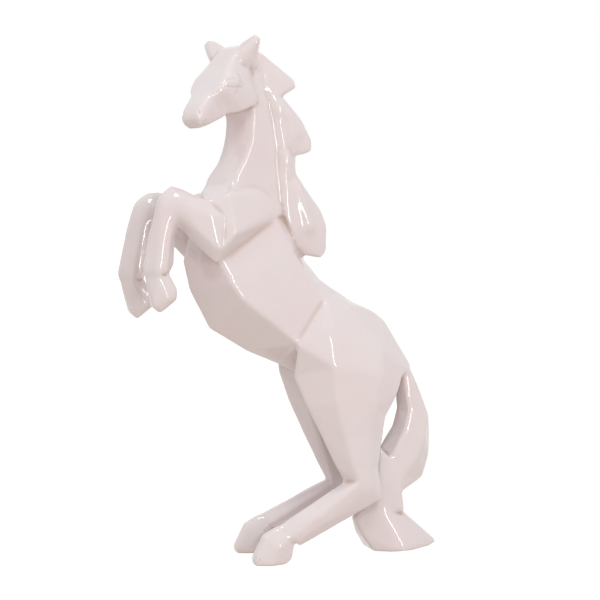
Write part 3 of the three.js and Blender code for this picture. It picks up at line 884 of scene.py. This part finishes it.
@dataclass(frozen=True)
class Casting:
    """One casting of the figure and how its share of the skin is found.

    Attributes:
        name: The casting's name.
        cut: How its space is found.
        bands: Lowest and highest z of the stretches that are hulled one by one, in millimetres.
        grow: How far the space is grown past the casting, in metres.
        plane: A point of the side view that the plane runs through, in millimetres, and which way is beyond.
    """

    NODE_GRAIN = 0.0012  # grain of a space made from the casting itself, in metres
    HULL_GRAIN = 0.0015  # grain of one made from hulls
    BLOCK = 1.0  # side of a block beyond a plane

    name: str
    cut: Cut
    bands: tuple[tuple[float, float], ...] = ((-1000.0, 1000.0),)
    grow: float = 0.0022
    plane: tuple[tuple[float, float, float], tuple[float, float, float]] | None = None

    def space(self, node: bpy.types.Object) -> bpy.types.Object:
        """Makes the space that this casting's share of the skin lies in.

        Args:
            node: The casting.

        Returns:
            The space's object.
        """
        if self.cut is Cut.BEYOND:
            return self.beyond()
        whole = twin(node, f"{self.name}_space")
        weld(whole)
        if self.cut is Cut.NODE:
            apply(whole, "DISPLACE", strength=self.grow, mid_level=0.0)
            apply(whole, "REMESH", mode="VOXEL", voxel_size=self.NODE_GRAIN, adaptivity=0.0)
            return whole
        hulls = [self.hull(whole, low * MM, high * MM) for low, high in self.bands]
        bpy.data.objects.remove(whole)
        space = join(f"{self.name}_space", hulls)
        apply(space, "REMESH", mode="VOXEL", voxel_size=self.HULL_GRAIN, adaptivity=0.0)
        return space

    def beyond(self) -> bpy.types.Object:
        """Returns a block that fills all that lies beyond the plane."""
        point, ahead = DRAWING.point(*self.plane[0]), Vector(self.plane[1]).normalized()
        turn = ahead.to_track_quat("Z", "Y").to_euler()
        middle = point + ahead * self.BLOCK / 2
        bpy.ops.mesh.primitive_cube_add(size=self.BLOCK, location=middle, rotation=turn)
        bpy.ops.object.transform_apply()
        return bpy.context.object

    def hull(self, whole: bpy.types.Object, low: float, high: float) -> bpy.types.Object:
        """Makes the grown convex hull of one stretch of a casting.

        Args:
            whole: The welded casting.
            low: Lowest z of the stretch.
            high: Highest z of the stretch.

        Returns:
            The hull's object.
        """
        part = twin(whole, "stretch")
        height = coords(part)[:, 2]
        outside = (height < low) | (height > high)
        only(part)
        bpy.ops.object.mode_set(mode="EDIT")
        bpy.ops.mesh.select_all(action="DESELECT")
        bpy.ops.object.mode_set(mode="OBJECT")
        part.data.vertices.foreach_set("select", outside)
        bpy.ops.object.mode_set(mode="EDIT")
        bpy.ops.mesh.delete(type="VERT")
        bpy.ops.mesh.select_all(action="SELECT")
        bpy.ops.mesh.convex_hull()
        bpy.ops.mesh.delete_loose()
        bpy.ops.object.mode_set(mode="OBJECT")
        apply(part, "DISPLACE", strength=self.grow, mid_level=0.0)
        return part


CASTINGS = (
    Casting("mane", Cut.NODE),
    Casting("left_foreleg", Cut.NODE),
    Casting("right_foreleg", Cut.NODE),
    Casting("head", Cut.HULL),
    Casting("neck", Cut.HULL),
    Casting("left_hind_leg", Cut.HULL, bands=((66, 400), (14, 72), (-1, 30))),
    Casting("right_hind_leg", Cut.HULL, bands=((66, 400), (14, 72), (-1, 30))),
    Casting("tail", Cut.BEYOND, plane=((83, 0, 132.5), (17, 0, -18))),
    Casting("body", Cut.REST),
)


@dataclass
class Parting:
    """Parts the skin into one closed piece for each casting.

    Attributes:
        skin: The whole skin, which stays as the source of the normals.
        nodes: The castings by name.
        seam: How far from the skin a corner may lie and still get its normal from it, in metres.
    """

    skin: bpy.types.Object
    nodes: dict[str, bpy.types.Object]
    seam: float = 0.0003

    def build(self) -> dict[str, bpy.types.Object]:
        """Returns the pieces by the names of their castings."""
        rest = twin(self.skin, "rest")
        pieces = {}
        for casting in CASTINGS:
            if casting.cut is Cut.REST:
                piece = rest
            else:
                space = casting.space(self.nodes[casting.name])
                piece = twin(rest, casting.name)
                apply(piece, "BOOLEAN", operation="INTERSECT", solver="MANIFOLD", object=space)
                apply(rest, "BOOLEAN", operation="DIFFERENCE", solver="MANIFOLD", object=space)
                keep_largest(rest)
                bpy.data.objects.remove(space)
            keep_largest(piece)
            self.smooth(piece)
            piece.name = f"{casting.name}_glazed"
            pieces[casting.name] = piece
            LOG.info("%s: %d faces", piece.name, len(piece.data.polygons))
        bpy.data.objects.remove(self.skin)
        return pieces

    def smooth(self, piece: bpy.types.Object) -> None:
        """Gives a piece the normals and the attribute that the whole skin has there, so that no seam shows.

        Args:
            piece: The piece.
        """
        only(piece)
        bpy.ops.object.shade_smooth()
        apply(
            piece,
            "DATA_TRANSFER",
            object=self.skin,
            use_loop_data=True,
            data_types_loops={"CUSTOM_NORMAL"},
            loop_mapping="POLYINTERP_NEAREST",
            use_max_distance=True,
            max_distance=self.seam,
        )
        apply(
            piece,
            "DATA_TRANSFER",
            object=self.skin,
            use_vert_data=True,
            data_types_verts={"COLOR_VERTEX"},
            vert_mapping="POLYINTERP_NEAREST",
        )


# Studio


@dataclass(frozen=True)
class Viewpoint:
    """The camera, which sees the figure as it was photographed.

    Attributes:
        azimuth: Turn round the figure in degrees, with 0 looking along +Y.
        elevation: Height above the horizon in degrees.
        distance: From the target, in metres.
        focal: Focal length in pixels of the square picture.
        picture: Side of the picture in pixels.
        target: What it looks at.
    """

    azimuth: float = -20.0
    elevation: float = 6.0
    distance: float = 1.5
    focal: float = 1981.0
    picture: float = 600.0
    target: Vector = DRAWING.point(0, 0, 196)

    def aim(self) -> Vector:
        """Returns the direction from the target to the camera."""
        turn, lift = math.radians(self.azimuth), math.radians(self.elevation)
        level = Vector((math.sin(turn), -math.cos(turn), 0.0)) * math.cos(lift)
        return level + Vector((0.0, 0.0, math.sin(lift)))

    def ray(self, right: float, down: float) -> tuple[Vector, Vector]:
        """Finds the ray that is seen at a point of the picture.

        Args:
            right: How far the point is from the picture's left side, in pixels.
            down: How far it is from the top.

        Returns:
            Where the ray starts, and its direction.
        """
        back = self.aim()
        across = Vector((0.0, 0.0, 1.0)).cross(back).normalized()
        half = self.picture / 2
        run = across * (right - half) + back.cross(across) * (half - down) - back * self.focal
        return self.target + back * self.distance, run.normalized()

    def build(self) -> None:
        """Adds the camera and makes it the scene's."""
        data = bpy.data.cameras.new("camera")
        data.lens = self.focal / self.picture * data.sensor_width
        camera = bpy.data.objects.new("camera", data)
        camera.location = self.target + self.aim() * self.distance
        camera.rotation_euler = self.aim().to_track_quat("Z", "Y").to_euler()
        bpy.context.collection.objects.link(camera)
        bpy.context.scene.camera = camera


@dataclass(frozen=True)
class SoftBox:
    """A rectangular lamp that faces the figure.

    Attributes:
        name: Its name.
        azimuth: Turn round the figure in degrees, as the camera's.
        elevation: Height above the horizon in degrees.
        distance: From the figure's middle, in metres.
        size: Width and height in metres.
        power: In watts.
    """

    name: str
    azimuth: float
    elevation: float
    distance: float
    size: tuple[float, float]
    power: float

    def build(self, middle: Vector) -> None:
        """Adds the lamp.

        Args:
            middle: The figure's middle, at which it aims.
        """
        data = bpy.data.lights.new(self.name, "AREA")
        data.shape = "RECTANGLE"
        data.size, data.size_y = self.size
        data.energy = self.power
        lamp = bpy.data.objects.new(self.name, data)
        aim = Viewpoint(self.azimuth, self.elevation).aim()
        lamp.location = middle + aim * self.distance
        lamp.rotation_euler = aim.to_track_quat("Z", "Y").to_euler()
        bpy.context.collection.objects.link(lamp)


@dataclass
class Studio:
    """Pale floor, soft lamps, and a room that is brightest over the camera's left shoulder.

    Attributes:
        room: Brightness of the room's dark end and of its bright end.
        bright: Where the bright end is, as an azimuth and an elevation.
        fall: Over which cosines from the bright end the brightness changes.
        shade: Tint of the dark end.
        shade_fall: Over which cosines the tint changes.
        floor_half: Half the side of the floor, in metres.
        floor_tone: The floor's colour where lamps light it.
        floor_white: How bright the floor is where it is plain white.
        floor_glow: Share of the floor by the figure that the camera sees as plain white instead of lit.
        floor_reach: How far from the figure that share begins to grow, and where it is whole, in metres.
        boxes: The lamps.
    """

    room: tuple[float, float] = (0.3, 0.95)
    bright: tuple[float, float] = (-50.0, 28.0)
    fall: tuple[float, float] = (-0.7, 0.8)
    shade: tuple[float, float, float, float] = (0.98, 0.93, 0.93, 1.0)
    shade_fall: tuple[float, float] = (-0.6, 0.3)
    floor_half: float = 6.0
    floor_tone: tuple[float, float, float, float] = (0.68, 0.58, 0.51, 1.0)
    floor_white: float = 1.08
    floor_glow: float = 0.93
    floor_reach: tuple[float, float] = (0.18, 0.6)
    boxes: tuple[SoftBox, ...] = (
        SoftBox("key", 18.0, 4.0, 1.5, (0.13, 0.88), 4.5),
        SoftBox("top", 6.0, 60.0, 1.5, (0.3, 0.3), 3.0),
    )

    def build(self, middle: Vector) -> None:
        """Adds the world, the lamps and the floor.

        Args:
            middle: The figure's middle, at which the lamps aim.
        """
        self.world()
        self.floor()
        for box in self.boxes:
            box.build(middle)
        view = bpy.context.scene.view_settings
        view.view_transform = "Standard"

    def seen(self, recipe: Recipe) -> Link:
        """Tells the camera's rays, direct or by gloss or glass, from those that only light things.

        Args:
            recipe: The material or world under construction.

        Returns:
            1 for the camera's rays and 0 for others.
        """
        straight = recipe.node("ShaderNodeLightPath", {})
        mirrored = recipe.node("ShaderNodeLightPath", {}, output=3)
        through = recipe.node("ShaderNodeLightPath", {}, output=6)
        return (straight + mirrored + through).clamped()

    def world(self) -> None:
        """Makes the room: white where the camera sees it, and at its own level where it lights the figure."""
        recipe = Recipe(bpy.data.worlds.new("room"), "ShaderNodeOutputWorld")
        dot = {"operation": "DOT_PRODUCT"}
        ahead = tuple(Viewpoint(*self.bright).aim())
        facing = recipe.node("ShaderNodeVectorMath", dot, recipe.place(0), ahead, output=1)
        dark, light = self.room
        level = dark + facing.ramp(*self.fall) * (light - dark)
        seen = self.seen(recipe)
        tint = recipe.blend(facing.ramp(*self.shade_fall), self.shade, WHITE)
        tint = recipe.blend(seen, tint, WHITE)
        glow = recipe.node("ShaderNodeBackground", {}, tint, level + seen * (1.0 - level))
        bpy.context.scene.world = recipe.finish(glow)

    def floor(self) -> None:
        """Adds the pale floor, which keeps the figure's shadow."""
        bpy.ops.mesh.primitive_plane_add(size=2 * self.floor_half)
        floor = bpy.context.object
        floor.name = "floor"
        recipe = Recipe(bpy.data.materials.new("pale_floor"))
        lit = recipe.node("ShaderNodeBsdfDiffuse", {}, self.floor_tone)
        glow = recipe.node("ShaderNodeEmission", {}, WHITE, self.floor_white)
        away = recipe.node("ShaderNodeVectorMath", {"operation": "LENGTH"}, recipe.place(), output=1)
        far = away.ramp(*self.floor_reach)
        share = self.seen(recipe) * (self.floor_glow + far * (1.0 - self.floor_glow))
        floor.data.materials.append(recipe.finish(recipe.node("ShaderNodeMixShader", {}, share, lit, glow)))
        floor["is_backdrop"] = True


def main() -> None:
    """Builds the figure and the studio."""
    logging.basicConfig(level=logging.INFO, format="%(asctime)s %(name)s: %(message)s", force=True)
    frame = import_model()
    cad_box = [list(corner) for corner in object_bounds()]
    Viewpoint().build()
    castings = {name: frame["nodes"][name] for name in (casting.name for casting in CASTINGS)}
    skin = GlazeSkin()
    skin.build(castings)
    skin.mark_form()
    pieces = Parting(skin.thing, castings).build()
    glaze = GlazedWare().material()
    for name, piece in pieces.items():
        piece.data.materials.clear()
        piece.data.materials.append(glaze)
        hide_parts(name)
        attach(piece, "root")
        LOG.info("%s dressed", piece.name)
    low, high = (Vector(corner) for corner in cad_box)
    Studio().build((low + high) / 2)


if __name__ == "__main__":
    main()
